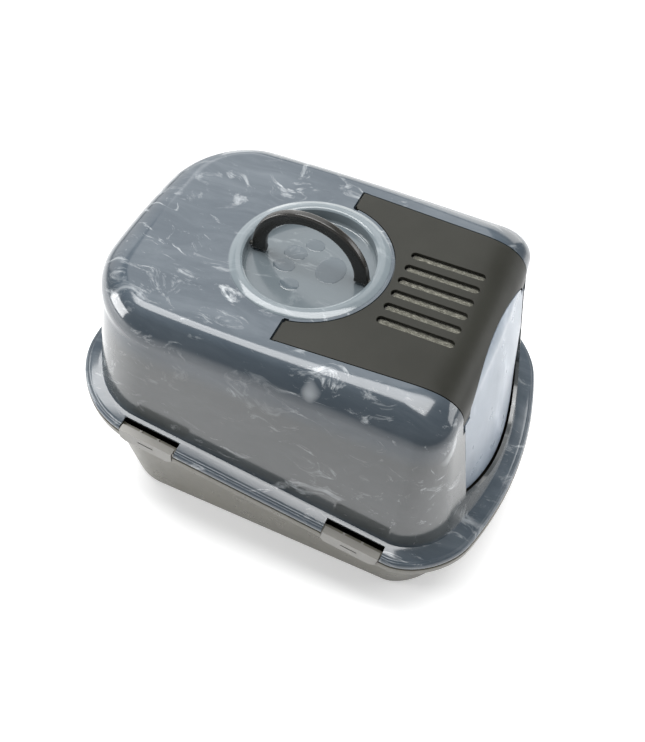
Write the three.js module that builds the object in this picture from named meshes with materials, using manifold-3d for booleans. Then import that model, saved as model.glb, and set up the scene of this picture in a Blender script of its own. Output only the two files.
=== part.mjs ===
// Hooded cat litter box: a deep pan, a lift-off hood with a hinged top cover and swing door,
// a folding carry handle and four side latches.
// Millimetres, +Z up, the entrance faces -Y, origin on the floor under the middle of the box.
import * as THREE from 'three';
import { mergeVertices } from 'three/addons/utils/BufferGeometryUtils.js';
import Module from 'manifold-3d';

const wasm = await Module();
wasm.setup();

// ---- Driving dimensions -------------------------------------------------------------------
const bodyLength = 586;        // over the rim, front to back
const bodyWidth = 438;         // over the rim, side to side
const topHeight = 370;         // floor to the flat top of the hood
const frontSeamHeight = 107;   // floor to the pan rim at the entrance
const rearSeamHeight = 204;    // floor to the pan rim at the back
const seamGap = 0.4;           // hood skirt above the pan rim

const rimFrontRadius = 75;
const rimRearRadius = 105;
const rimFrontBow = 50;        // how far the rim's front corners lie behind its middle
const rimRearBow = 18;

const hoodWall = 2.8;
const skirtWidth = 23;         // rim edge to the foot of the hood wall
const skirtHeight = 12.5;
const shoulderDrop = 40;       // top of the hood down to the shoulder line
const shoulderInset = 21;      // side wall lean, foot to shoulder
const shoulderFrontInset = 46;
const shoulderRearInset = 8;
const shoulderFrontRadius = 36;
const shoulderRearRadius = 112;
const shoulderFrontBow = 8;
const shoulderRearBow = 14;
const topEdgeInset = 34;       // shoulder line to the flat top, at the sides
const topEdgeFrontInset = 46;
const topEdgeRearInset = 51;
const topTaper = 0.13;         // share of its width that the flat top loses at the front

const ringY = 17;              // centre of the round handle recess
const ringShare = 0.7405;      // outer radius of the recess's raised lip, as a share of the cover's half width
const ringWidth = 17;
const ringRise = 3.2;
const recessDepth = 15;
const recessWall = 2.5;

const coverThickness = 3;
const coverGap = 1.3;          // all round the cover
const coverRingMargin = 3;     // lip of the recess to the opening that takes the cover
const coverRearDrop = 12.7;    // centre of the recess to the rear edge of that opening
const coverSideMargin = 10;    // edge of the flat top to the cover
const coverFrontMargin = 22;   // rounded corners of the hood's front to the tips of the cover
const coverTipDrop = 48;       // top of the hood down to the tips of the cover
const coverLedge = 8;          // ledge of the hood under the cover's sides
const coverRingLedge = 5;      // and round the handle recess
const coverLedgeGap = 0.5;
const coverLedgeThickness = 2.5;
const coverBarrelRadius = 3;
const coverPinRadius = 1.6;

const ventCount = 6;
const ventWidth = 11;
const ventSideMargin = 9;
const ventFrontMargin = 4.5;   // the vents start this far in front of the flat top's edge
const ventRearMargin = 7.5;    // and end this far from the opening's round edge

const filterThickness = 8;
const filterMargin = 12;       // pad beyond the outermost vents
const filterFrameWall = 2;
const filterGap = 0.5;
const filterDrop = 2.4;        // underside of the cover's flat to the pad

const doorSideMargin = 6;      // tip of the cover to the side of the door
const doorThickness = 2.6;
const doorGap = 2;
const doorSill = 15.7;         // foot of the hood's front wall to the middle of the door's lower edge
const doorBottomRise = 34;     // how far the lower edge rises towards its ends
const doorCreaseDrop = 125;    // top of the hood down to the crease across the door
const doorTuck = 9;            // how far the door's foot sits behind the hood's front
const archSideMargin = 12;     // side of the door to the start of its arch
const archRise = 32;
const doorAxisDrop = 58;
const doorShoulderRise = 2;    // hinge line to the door's shoulders, which turn under the cover
const doorAxisDepth = 7;       // front of the hood to the door's hinge line
const doorBarrelRadius = 3.6;
const doorPinRadius = 1.7;
const coverLugThickness = 4;
const coverLugHeight = 16;     // hinge line up to the top of the lug, inside the cover's wall

const handleSideGap = 4;       // handle to the wall of the recess
const handleRadial = 18;
const handleThickness = 10;
const handlePinRadius = 2.6;
const handlePinLength = 16;
const handleAxisDrop = 8.5;

const latchLength = 75;
const latchEndGap = 2;
const latchRearInset = 146;    // back of the rim to the middle of the rear latch
const latchFrontInset = 157;
const latchThickness = 3.2;
const latchTopHeight = 9;
const latchTab = 6;            // below the hinge line
const latchReach = 9.5;        // inward reach of the top strip
const latchPinRadius = 1.1;
const latchPinBite = 5;        // length of the pin held in the rim at each end
const latchBarrelRadius = 2.3;

const panWall = 3;
const panShelfInset = 12;      // rim edge to the outside of the pan wall
const panShelfThickness = 3.5;
const panLipHeight = 12;
const panLipThickness = 4.5;
const panFloorInset = 29;
const panFloorFillet = 12;

const pinClearance = 0.4;

// ---- Derived ------------------------------------------------------------------------------
const seamSlope = (rearSeamHeight - frontSeamHeight) / bodyLength;
const seamAngle = Math.atan(seamSlope);
const seamHeight = (y) => (frontSeamHeight + rearSeamHeight) / 2 + seamSlope * y;
const far = 2 * bodyLength;
const coverRearY = ringY - coverRearDrop;
const coverAxisY = coverRearY - coverGap - coverBarrelRadius;
const coverAxisZ = topHeight - coverBarrelRadius;
const handleAxisZ = topHeight - handleAxisDrop;
const latchHingeInset = panLipThickness / 2;
const latchHingeHeight = latchBarrelRadius - panLipHeight;
const latchYs = [bodyLength / 2 - latchRearInset, latchFrontInset - bodyLength / 2];

// ---- Solids -------------------------------------------------------------------------------
function solid(geometry) {
  const bare = geometry.clone();
  bare.deleteAttribute('normal');
  bare.deleteAttribute('uv');
  const merged = mergeVertices(bare, 1e-4);
  return new wasm.Manifold(new wasm.Mesh({
    numProp: 3,
    vertProperties: new Float32Array(merged.attributes.position.array),
    triVerts: new Uint32Array(merged.index.array),
  }));
}

function geometryOf(body) {
  const mesh = body.getMesh();
  const geometry = new THREE.BufferGeometry();
  const positions = new Float32Array(mesh.vertProperties);
  geometry.setAttribute('position', new THREE.BufferAttribute(positions, 3));
  geometry.setIndex(new THREE.BufferAttribute(new Uint32Array(mesh.triVerts), 1));
  return geometry;
}

function box(x0, x1, y0, y1, z0, z1) {
  const geometry = new THREE.BoxGeometry(x1 - x0, y1 - y0, z1 - z0);
  return solid(geometry.translate((x0 + x1) / 2, (y0 + y1) / 2, (z0 + z1) / 2));
}

function rodX(radius, x0, x1, y, z, sides = 16) {
  const geometry = new THREE.CylinderGeometry(radius, radius, x1 - x0, sides);
  return solid(geometry.rotateZ(Math.PI / 2).translate((x0 + x1) / 2, y, z));
}

function rodY(radius, y0, y1, x, z, sides = 16) {
  const geometry = new THREE.CylinderGeometry(radius, radius, y1 - y0, sides);
  return solid(geometry.translate(x, (y0 + y1) / 2, z));
}

function rodZ(radius, z0, z1, x, y, sides = 64) {
  const geometry = new THREE.CylinderGeometry(radius, radius, z1 - z0, sides);
  return solid(geometry.rotateX(Math.PI / 2).translate(x, y, (z0 + z1) / 2));
}

function prismZ(points, z0, z1) {
  const shape = new THREE.Shape(points.map(([x, y]) => new THREE.Vector2(x, y)));
  const geometry = new THREE.ExtrudeGeometry(shape, { depth: z1 - z0, bevelEnabled: false });
  return solid(geometry.translate(0, 0, z0));
}

// A prism along Y: the points are (x, z).
function prismY(points, y0, y1) {
  const shape = new THREE.Shape(points.map(([x, z]) => new THREE.Vector2(x, z)));
  const geometry = new THREE.ExtrudeGeometry(shape, { depth: y1 - y0, bevelEnabled: false });
  return solid(geometry.rotateX(Math.PI / 2).translate(0, y1, 0));
}

function lathe(points, sides = 64) {
  const profile = points.map(([r, z]) => new THREE.Vector2(r, z));
  const geometry = new THREE.LatheGeometry(profile, sides);
  return solid(geometry.rotateX(Math.PI / 2));
}

function union(...bodies) {
  return bodies.reduce((sum, body) => sum.add(body));
}

// ---- Plan outlines ------------------------------------------------------------------------
// An outline is a rounded rectangle with bowed ends. Every outline has the same point count,
// so any two can be joined by walls.
const rim = {
  halfWidth: bodyWidth / 2,
  front: -bodyLength / 2,
  rear: bodyLength / 2,
  frontRadius: rimFrontRadius,
  rearRadius: rimRearRadius,
  frontBow: rimFrontBow,
  rearBow: rimRearBow,
  taper: 0,
};

function inset(outline, side, front = side, rear = side) {
  return {
    ...outline,
    halfWidth: outline.halfWidth - side,
    front: outline.front + front,
    rear: outline.rear - rear,
    frontRadius: Math.max(outline.frontRadius - side, 6),
    rearRadius: Math.max(outline.rearRadius - side, 6),
  };
}

function mix(a, b, t) {
  const blended = {};
  for (const key of Object.keys(a)) blended[key] = a[key] + (b[key] - a[key]) * t;
  return blended;
}

const cornerSteps = 8;
const sideSteps = 6;
const endSteps = 10;

function outlinePoints(outline) {
  const { halfWidth: w, front, rear, frontRadius: rf, rearRadius: rr } = outline;
  const points = [];
  const corner = (cx, cy, r, from) => {
    for (let i = 0; i <= cornerSteps; i += 1) {
      const angle = from + (Math.PI / 2) * (i / cornerSteps);
      points.push([cx + r * Math.cos(angle), cy + r * Math.sin(angle)]);
    }
  };
  const edge = (x0, y0, x1, y1, steps) => {
    for (let i = 1; i < steps; i += 1) {
      points.push([x0 + ((x1 - x0) * i) / steps, y0 + ((y1 - y0) * i) / steps]);
    }
  };
  corner(w - rr, rear - rr, rr, 0);
  edge(w - rr, rear, rr - w, rear, endSteps);
  corner(rr - w, rear - rr, rr, Math.PI / 2);
  edge(-w, rear - rr, -w, front + rf, sideSteps);
  corner(rf - w, front + rf, rf, Math.PI);
  edge(rf - w, front, w - rf, front, endSteps);
  corner(w - rf, front + rf, rf, -Math.PI / 2);
  edge(w, front + rf, w, rear - rr, sideSteps);
  return points.map(([x, y]) => bow(outline, x, y));
}

function bow(outline, x, y) {
  const middle = (outline.front + outline.rear) / 2;
  const half = (outline.rear - outline.front) / 2;
  const along = (y - middle) / half;
  const across = (x / outline.halfWidth) ** 2;
  const shift = along < 0 ? -along * outline.frontBow : -along * outline.rearBow;
  const widest = ringY + 60;
  const narrowing = 1 - outline.taper * ((y - widest) / (bodyLength * 0.43)) ** 2;
  return [x * narrowing, y + shift * across];
}

// A level is an outline with its height, which may depend on y.
const level = (outline, height) => outlinePoints(outline).map(([x, y]) => [x, y, height(y)]);

function wallIndices(count, levels, closed) {
  const indices = [];
  const last = closed ? levels : levels - 1;
  for (let k = 0; k < last; k += 1) {
    const low = k * count;
    const high = ((k + 1) % levels) * count;
    for (let i = 0; i < count; i += 1) {
      const j = (i + 1) % count;
      indices.push(low + i, low + j, high + j, low + i, high + j, high + i);
    }
  }
  return indices;
}

// A closed stack of levels, from the lowest to the highest, capped at both ends.
function stack(levels) {
  const count = levels[0].length;
  const points = levels.flat();
  const indices = wallIndices(count, levels.length, false);
  const top = (levels.length - 1) * count;
  const centre = (ring) => {
    const sum = ring.reduce((a, p) => [a[0] + p[0], a[1] + p[1], a[2] + p[2]], [0, 0, 0]);
    return sum.map((v) => v / ring.length);
  };
  points.push(centre(levels[0]), centre(levels[levels.length - 1]));
  for (let i = 0; i < count; i += 1) {
    const j = (i + 1) % count;
    indices.push(points.length - 2, j, i, points.length - 1, top + i, top + j);
  }
  return solid(indexed(points, indices));
}

// A closed band: the section's levels run anticlockwise seen along the wall, and join up.
function band(levels) {
  return solid(indexed(levels.flat(), wallIndices(levels[0].length, levels.length, true)));
}

function indexed(points, indices) {
  const geometry = new THREE.BufferGeometry();
  geometry.setAttribute('position', new THREE.Float32BufferAttribute(points.flat(), 3));
  geometry.setIndex(indices);
  return geometry;
}

const aboveSeam = (h) => (y) => seamHeight(y) + h;
const rimLevel = (d, h) => level(inset(rim, d), aboveSeam(h));

// ---- Hood surface -------------------------------------------------------------------------
const foot = inset(rim, skirtWidth);
const shoulder = {
  ...inset(foot, shoulderInset, shoulderFrontInset, shoulderRearInset),
  frontRadius: shoulderFrontRadius,
  rearRadius: shoulderRearRadius,
  frontBow: shoulderFrontBow,
  rearBow: shoulderRearBow,
};
const flatTop = {
  ...inset(shoulder, topEdgeInset, topEdgeFrontInset, topEdgeRearInset),
  frontRadius: 25,
  rearRadius: 50,
  frontBow: 12,
  rearBow: 8,
  taper: topTaper,
};
const shoulderHeight = topHeight - shoulderDrop;
const frontFootHeight = seamHeight(foot.front) + skirtHeight - 1;
const crease = (topHeight - doorCreaseDrop - frontFootHeight) / (shoulderHeight - frontFootHeight);
const filletSteps = 7;

// ---- Cover and door widths, which follow the hood's surface ---------------------------------
const coverRearHalfWidth = flatTop.halfWidth - coverSideMargin;
const coverFrontHalfWidth = shoulder.halfWidth - shoulder.frontRadius - coverFrontMargin;
const doorHalfWidth = coverFrontHalfWidth - doorSideMargin;
const archHalfWidth = doorHalfWidth - archSideMargin;
const ringRadius = coverRearHalfWidth * ringShare;
const recessRadius = ringRadius - ringWidth;
const handleRadius = recessRadius - handleSideGap;
const coverRingRadius = ringRadius + coverRingMargin;
const ventPitch = (coverFrontHalfWidth - ventSideMargin) / (ventCount - 1);
const ventFrontY = flatTop.front - ventFrontMargin;
const ventLength = ringY - coverRingRadius - ventRearMargin - ventFrontY;

// The space inside the hood's outer surface, shrunk all round by `depth`.
// `tuck` draws the foot in below the crease, which shapes the door.
function hoodSpace(depth, tuck = 0, footDrop = 0) {
  const shrink = (outline) => inset(outline, depth);
  const wallHeight = (t) => (y) => {
    const low = seamHeight(y) + skirtHeight - 1 - footDrop;
    return low + (shoulderHeight - depth - low) * t;
  };
  const levels = [];
  const low = inset(foot, tuck);
  levels.push(level(shrink(low), wallHeight(0)));
  levels.push(level(shrink(mix(foot, shoulder, crease)), wallHeight(crease)));
  for (let i = 0; i <= filletSteps; i += 1) {
    const angle = (Math.PI / 2) * (i / filletSteps);
    const outline = shrink(mix(shoulder, flatTop, 1 - Math.cos(angle)));
    const height = shoulderHeight + shoulderDrop * Math.sin(angle) - depth;
    levels.push(level(outline, () => height));
  }
  return stack(levels);
}

// y of the hood's front face at x, at a drop below the top between the shoulder and the foot.
function frontAt(drop, x) {
  const share = (topHeight - drop - frontFootHeight) / (shoulderHeight - frontFootHeight);
  const outline = mix(foot, shoulder, share);
  return bow(outline, x, outline.front)[1];
}

// Plan of the opening that takes the cover, grown by `grow`.
function coverPlan(grow) {
  const rear = coverRearY + grow;
  const tipY = shoulder.front;
  const rearX = coverRearHalfWidth + grow;
  const tipX = coverFrontHalfWidth + coverGap + grow;
  return [[-rearX, rear], [-tipX, tipY], [-tipX, -far], [tipX, -far], [tipX, tipY], [rearX, rear]];
}

function coverColumn(grow, z0, z1, ringGrow = grow) {
  const ringCut = rodZ(coverRingRadius - ringGrow, z0 - 1, z1 + 1, 0, ringY);
  return prismZ(coverPlan(grow), z0, z1).subtract(ringCut);
}

// Front view of the region below the arch, where the door hangs, grown by `grow`.
function archFace(grow) {
  const steps = 20;
  const base = topHeight - coverTipDrop;
  const a = archHalfWidth + grow;
  const b = archRise + grow;
  const points = [[far, -far], [far, base + grow]];
  for (let i = 0; i <= steps; i += 1) {
    const angle = (Math.PI * i) / steps;
    points.push([a * Math.cos(angle), base + grow + (b - grow) * Math.sin(angle)]);
  }
  points.push([-far, base + grow], [-far, -far]);
  return points;
}

// Front view of the door's lower edge, as points from left to right.
function doorFoot(halfWidth, lower) {
  const steps = 14;
  const points = [];
  for (let i = 0; i <= steps; i += 1) {
    const x = -halfWidth + (2 * halfWidth * i) / steps;
    const rise = doorBottomRise * (x / doorHalfWidth) ** 2;
    points.push([x, frontFootHeight + doorSill - lower + rise]);
  }
  return points;
}

// ---- Latch places -------------------------------------------------------------------------
// Latch frame: local x points out of the side, local y runs along the sloping rim.
function latchPlaces() {
  const places = [];
  for (const side of [-1, 1]) {
    latchYs.forEach((y, i) => {
      const name = `${side < 0 ? 'left' : 'right'}_${i === 0 ? 'rear' : 'front'}`;
      const position = new THREE.Vector3(side * (bodyWidth / 2), y, seamHeight(y));
      places.push({ name, side, position });
    });
  }
  return places;
}

function atLatch(body, place) {
  const turn = new THREE.Matrix4().makeRotationX(seamAngle);
  const geometry = geometryOf(body).applyMatrix4(turn);
  return solid(geometry.translate(...place.position.toArray()));
}

// A box in the latch frame: e is measured outward from the rim's edge, h above the seam.
function latchBox(side, e0, e1, y0, y1, h0, h1) {
  const [x0, x1] = side < 0 ? [-e1, -e0] : [e0, e1];
  return box(x0, x1, y0, y1, h0, h1);
}

// ---- Pan ----------------------------------------------------------------------------------
function makePan() {
  const wallTop = inset(rim, panShelfInset);
  const base = inset(rim, panFloorInset);
  const space = (depth, floor, lift) => {
    const levels = [];
    const steps = 4;
    for (let i = 0; i <= steps; i += 1) {
      const angle = (Math.PI / 2) * (i / steps);
      const tucked = panFloorFillet * (1 - Math.sin(angle));
      const height = floor + panFloorFillet * (1 - Math.cos(angle));
      levels.push(level(inset(base, tucked + depth), () => height));
    }
    levels.push(level(inset(wallTop, depth), aboveSeam(lift)));
    return stack(levels);
  };
  const shell = space(0, 0, 0).subtract(space(panWall, panWall, 1));
  const section = [
    [0, -panLipHeight], [0, 0], [panShelfInset + 1, 0], [panShelfInset + 1, -panShelfThickness],
    [panLipThickness, -panShelfThickness], [panLipThickness, -panLipHeight],
  ];
  let pan = shell.add(band(section.map(([d, h]) => rimLevel(d, h))));
  for (const place of latchPlaces()) {
    const half = latchLength / 2 + 0.6;
    const notch = latchBox(place.side, -(panLipThickness + 2), 5, -half, half, -panLipHeight - 8, 8);
    const axisX = -place.side * latchHingeInset;
    const reach = half + latchPinBite + 0.5;
    const hole = rodY(latchPinRadius + pinClearance * 0.75, -reach, reach, axisX, latchHingeHeight, 12);
    pan = pan.subtract(atLatch(notch.add(hole), place));
  }
  return pan;
}

// ---- Hood ---------------------------------------------------------------------------------
function hoodSkirt() {
  const section = [
    [0.8, seamGap], [0.8, 4.5], [2.2, 8], [5, 9.8],
    [skirtWidth - 2, skirtHeight], [skirtWidth + 2, skirtHeight],
    [skirtWidth + 2, skirtHeight - 3], [7, 7], [4.2, 5.2], [3.8, seamGap],
  ];
  return band(section.map(([d, h]) => rimLevel(d, h)));
}

function recessParts() {
  const floorZ = topHeight - recessDepth;
  const outer = recessRadius + recessWall;
  const underside = floorZ - recessWall;
  const cup = lathe([[0, underside], [outer, underside], [outer, topHeight - 1], [0, topHeight - 1]]);
  const lip = lathe([
    [recessRadius - 1, topHeight - 2], [ringRadius, topHeight - 2], [ringRadius, topHeight],
    [ringRadius - 4, topHeight + ringRise * 0.55], [ringRadius - 9, topHeight + ringRise],
    [recessRadius + 4, topHeight + ringRise], [recessRadius + 1, topHeight + ringRise * 0.6],
    [recessRadius - 1, topHeight],
    [recessRadius - 1, topHeight - 2],
  ]);
  const above = topHeight + 9;
  const hollow = lathe([[0, floorZ], [recessRadius, floorZ], [recessRadius, above], [0, above]]);
  const place = (body) => body.translate(0, ringY, 0);
  return { cup: place(cup), lip: place(lip), hollow: place(hollow) };
}

// The sunk ledge that backs the edges of the cover, tied to the hood by a short riser.
function coverLedgeBand() {
  const above = coverThickness + coverLedgeGap;
  const z0 = shoulderHeight;
  const z1 = topHeight + 20;
  const riser = coverColumn(4, z0, z1).subtract(coverColumn(0, z0 - 1, z1 + 1));
  const gap = coverColumn(-coverLedge, z0 - 1, z1 + 1, -coverRingLedge);
  const shelf = coverColumn(4, z0, z1).subtract(gap);
  const riserLayer = hoodSpace(1.4).subtract(hoodSpace(above + coverLedgeThickness));
  const shelfLayer = hoodSpace(above).subtract(hoodSpace(above + coverLedgeThickness));
  const flat = box(-far, far, flatTop.front, far, 0, far);
  return union(riser.intersect(riserLayer), shelf.intersect(shelfLayer)).intersect(flat);
}

function doorway() {
  const halfWidth = doorHalfWidth + doorGap;
  const wideHalf = coverFrontHalfWidth + coverGap;
  const lugFoot = topHeight - doorAxisDrop - doorBarrelRadius - 2;
  const outline = doorFoot(halfWidth, doorGap);
  outline.push(
    [halfWidth, lugFoot], [wideHalf, lugFoot], [wideHalf, topHeight + 5],
    [-wideHalf, topHeight + 5], [-wideHalf, lugFoot], [-halfWidth, lugFoot],
  );
  return prismY(outline, -far, flatTop.front);
}

function coverPinBoss(side) {
  const inner = coverRearHalfWidth - 1;
  const outer = inner + 9;
  const [x0, x1] = side < 0 ? [-outer, -inner] : [inner, outer];
  const top = topHeight - 1;
  return box(x0, x1, coverAxisY - 5, coverAxisY + 5, top - 8, top);
}

function coverPinSpan(side, clearance) {
  const inner = coverRearHalfWidth - coverGap - 9 - clearance;
  const outer = coverRearHalfWidth + 6 + clearance;
  const [x0, x1] = side < 0 ? [-outer, -inner] : [inner, outer];
  return rodX(coverPinRadius + clearance, x0, x1, coverAxisY, coverAxisZ, 16);
}

function makeHood() {
  const { cup, lip, hollow } = recessParts();
  let hood = hoodSpace(0).subtract(hoodSpace(hoodWall, 0, 12));
  hood = hood.subtract(coverColumn(0, shoulderHeight - 20, topHeight + 20));
  hood = hood.subtract(doorway());
  hood = union(hood, coverLedgeBand(), hoodSkirt(), cup, lip).subtract(hollow);
  for (const side of [-1, 1]) {
    hood = hood.add(coverPinBoss(side)).subtract(coverPinSpan(side, pinClearance));
    hood = hood.subtract(handlePinSpan(side, pinClearance));
  }
  // Room for the barrels of the cover's hinge.
  const barrelRoom = coverBarrelRadius + coverGap;
  const roomX = coverRearHalfWidth;
  const room = rodX(barrelRoom, -roomX, roomX, coverAxisY, coverAxisZ, 24)
    .subtract(rodZ(ringRadius + 1, 0, far, 0, ringY));
  hood = hood.subtract(room);
  for (const place of latchPlaces()) {
    const half = latchLength / 2 + latchEndGap;
    const notch = latchBox(place.side, -(skirtWidth - 5), 5, -half, half, -5, 25);
    hood = hood.subtract(atLatch(notch, place));
  }
  return hood;
}

// ---- Cover --------------------------------------------------------------------------------
function ventSlots() {
  const slots = [];
  const radius = ventWidth / 2;
  const y0 = ventFrontY + radius;
  const y1 = ventFrontY + ventLength - radius;
  for (let i = 0; i < ventCount; i += 1) {
    const x = (i - (ventCount - 1) / 2) * ventPitch;
    const shape = new THREE.Shape();
    shape.absarc(x, y0, radius, Math.PI, 2 * Math.PI, false);
    shape.absarc(x, y1, radius, 0, Math.PI, false);
    const options = { depth: 30, bevelEnabled: false, curveSegments: 6 };
    slots.push(solid(new THREE.ExtrudeGeometry(shape, options).translate(0, 0, topHeight - 15)));
  }
  return union(...slots);
}

function coverBarrel(side) {
  const outer = coverRearHalfWidth - coverGap;
  const inner = Math.sqrt((coverRingRadius + coverGap) ** 2 - (coverAxisY - ringY) ** 2) + 3;
  const [x0, x1] = side < 0 ? [-outer, -inner] : [inner, outer];
  return rodX(coverBarrelRadius, x0, x1, coverAxisY, coverAxisZ, 24);
}

const doorAxisY = frontAt(doorAxisDrop, coverFrontHalfWidth) + doorAxisDepth;
const doorAxisZ = topHeight - doorAxisDrop;

// The lug that carries the door's pin, under each tip of the cover.
function coverLug(side) {
  const outer = coverFrontHalfWidth;
  const inner = outer - coverLugThickness;
  const [x0, x1] = side < 0 ? [-outer, -inner] : [inner, outer];
  const r = doorBarrelRadius;
  const stem = box(x0, x1, doorAxisY - r, doorAxisY + r, doorAxisZ, doorAxisZ + coverLugHeight);
  return rodX(r, x0, x1, doorAxisY, doorAxisZ, 16).add(stem);
}

function doorPinSpan(side, clearance) {
  const outer = coverFrontHalfWidth + clearance;
  const inner = doorHalfWidth - 9 - clearance;
  const [x0, x1] = side < 0 ? [-outer, -inner] : [inner, outer];
  return rodX(doorPinRadius + clearance, x0, x1, doorAxisY, doorAxisZ, 16);
}

function makeCover() {
  const layer = hoodSpace(0).subtract(hoodSpace(coverThickness));
  const column = coverColumn(-coverGap, shoulderHeight - 20, topHeight + 20);
  const rearTrim = box(-far, far, coverAxisY, far, 0, far);
  let cover = layer.intersect(column).subtract(rearTrim);
  cover = cover.subtract(prismY(archFace(0), -far, flatTop.front));
  cover = cover.subtract(ventSlots());
  for (const side of [-1, 1]) {
    cover = union(cover, coverBarrel(side), coverLug(side));
    cover = cover.subtract(coverPinSpan(side, pinClearance)).subtract(doorPinSpan(side, pinClearance));
  }
  return cover;
}

// ---- Filter -------------------------------------------------------------------------------
const filterHalfWidth = ((ventCount - 1) * ventPitch + ventWidth) / 2 + filterMargin;
const filterFront = ventFrontY - 1;
const filterRear = ringY - coverRingRadius - coverRingLedge - filterGap - filterFrameWall - 1;
const filterTop = topHeight - coverThickness - filterDrop;

function makeFilterPad() {
  const underside = filterTop - filterThickness;
  return box(-filterHalfWidth, filterHalfWidth, filterFront, filterRear, underside, filterTop);
}

function makeFilterFrame() {
  const gap = filterGap + filterFrameWall;
  const floor = filterTop - filterThickness - filterGap - filterFrameWall;
  const x = filterHalfWidth + gap;
  const outer = box(-x, x, filterFront - gap, filterRear + gap, floor, filterTop - 0.3);
  const inner = box(
    -x + filterFrameWall, x - filterFrameWall, filterFront - filterGap, filterRear + filterGap,
    floor + filterFrameWall, filterTop + 1,
  );
  let frame = outer.subtract(inner);
  const columns = 5;
  const rows = 3;
  const bar = 5;
  const stepX = (2 * filterHalfWidth - bar) / columns;
  const stepY = (filterRear - filterFront - bar) / rows;
  for (let i = 0; i < columns; i += 1) {
    for (let j = 0; j < rows; j += 1) {
      const x0 = -filterHalfWidth + bar + i * stepX;
      const y0 = filterFront + bar + j * stepY;
      const above = floor + filterFrameWall + 1;
      frame = frame.subtract(box(x0, x0 + stepX - bar, y0, y0 + stepY - bar, floor - 1, above));
    }
  }
  return frame;
}

// ---- Door ---------------------------------------------------------------------------------
function makeDoor() {
  const layer = hoodSpace(0.6, doorTuck).subtract(hoodSpace(0.6 + doorThickness, doorTuck, 12));
  const below = prismY(archFace(-doorGap), -far, 0);
  const base = doorAxisZ + doorShoulderRise;
  const outline = doorFoot(doorHalfWidth, 0);
  outline.push([doorHalfWidth, base], [archHalfWidth, base], [archHalfWidth, topHeight]);
  outline.push([-archHalfWidth, topHeight], [-archHalfWidth, base], [-doorHalfWidth, base]);
  let door = layer.intersect(below).intersect(prismY(outline, -far, 0));
  for (const side of [-1, 1]) {
    const outer = doorHalfWidth;
    const inner = outer - 8;
    const [x0, x1] = side < 0 ? [-outer, -inner] : [inner, outer];
    const front = doorAxisY - doorAxisDepth + 1.5;
    const web = box(x0, x1, front, doorAxisY, doorAxisZ - doorBarrelRadius, base);
    door = union(door, rodX(doorBarrelRadius, x0, x1, doorAxisY, doorAxisZ, 16), web);
    door = door.subtract(doorPinSpan(side, pinClearance));
  }
  return door;
}

// ---- Handle -------------------------------------------------------------------------------
function handlePinSpan(side, clearance) {
  const inner = recessRadius - handlePinLength * 0.75 - clearance;
  const outer = inner + handlePinLength + 2 * clearance;
  const [y0, y1] = side < 0 ? [ringY - outer, ringY - inner] : [ringY + inner, ringY + outer];
  return rodY(handlePinRadius + clearance, y0, y1, 0, handleAxisZ, 16);
}

function makeHandle() {
  const shape = new THREE.Shape();
  shape.absarc(0, 0, handleRadius, 0, Math.PI, false);
  shape.absarc(0, 0, handleRadius - handleRadial, Math.PI, 0, true);
  const options = { depth: handleThickness, bevelEnabled: false, curveSegments: 28 };
  const arch = new THREE.ExtrudeGeometry(shape, options);
  arch.rotateX(Math.PI / 2).rotateZ(Math.PI / 2).translate(-handleThickness / 2, ringY, handleAxisZ);
  let handle = solid(arch);
  for (const side of [-1, 1]) {
    const middle = ringY + side * (handleRadius - handleRadial / 2);
    const half = handleRadial / 2 - 0.6;
    handle = handle.add(rodY(handleThickness / 2, middle - half, middle + half, 0, handleAxisZ, 16));
    handle = handle.subtract(handlePinSpan(side, pinClearance));
  }
  return handle;
}

// ---- Latches ------------------------------------------------------------------------------
function makeLatch(side) {
  const half = latchLength / 2;
  const outerE = 1.2;
  const innerE = outerE - latchThickness;
  const low = latchHingeHeight - latchTab;
  const chamfer = 7;
  const face = [
    [-half, latchTopHeight], [-half, latchHingeHeight], [-half + chamfer, low],
    [half - chamfer, low], [half, latchHingeHeight], [half, latchTopHeight],
  ];
  const shape = new THREE.Shape(face.map(([y, z]) => new THREE.Vector2(y, z)));
  const plate = new THREE.ExtrudeGeometry(shape, { depth: latchThickness, bevelEnabled: false });
  plate.rotateX(Math.PI / 2).rotateZ(Math.PI / 2);
  plate.translate(side < 0 ? -outerE : innerE, 0, 0);
  const strip = latchBox(side, outerE - latchReach, outerE, -half, half, latchTopHeight - 2.6, latchTopHeight);
  let latch = solid(plate).add(strip);
  latch = latch.add(rodY(latchBarrelRadius, -half, half, -side * latchHingeInset, latchHingeHeight, 16));
  for (const y of [-latchLength / 6, latchLength / 6]) {
    const end = outerE - latchReach;
    const nib = latchBox(side, end - 3, end + 1, y - 1.5, y + 1.5, 2, latchTopHeight - 0.5);
    latch = latch.add(nib);
  }
  const mark = latchBox(side, outerE - 1, outerE + 1, -11, 11, -3.5, -1);
  const boreRadius = latchPinRadius + pinClearance;
  const bore = rodY(boreRadius, -half - 1, half + 1, -side * latchHingeInset, latchHingeHeight, 12);
  return latch.subtract(mark).subtract(bore);
}

function makeLatchPin(side) {
  const half = latchLength / 2 + latchPinBite;
  return rodY(latchPinRadius, -half, half, -side * latchHingeInset, latchHingeHeight, 12);
}

// ---- Assembly -----------------------------------------------------------------------------
const finishes = {
  pan: { color: 0x6b675b, roughness: 0.45, metalness: 0 },
  shell: { color: 0x7f8a95, roughness: 0.28, metalness: 0 },
  dark: { color: 0x47463f, roughness: 0.5, metalness: 0 },
  door: { color: 0xaab4c0, roughness: 0.25, metalness: 0 },
  handle: { color: 0x33312d, roughness: 0.45, metalness: 0 },
  latch: { color: 0x5a5650, roughness: 0.45, metalness: 0 },
  filter: { color: 0x35352f, roughness: 0.95, metalness: 0 },
  pin: { color: 0x4a4a46, roughness: 0.5, metalness: 0 },
};

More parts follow.
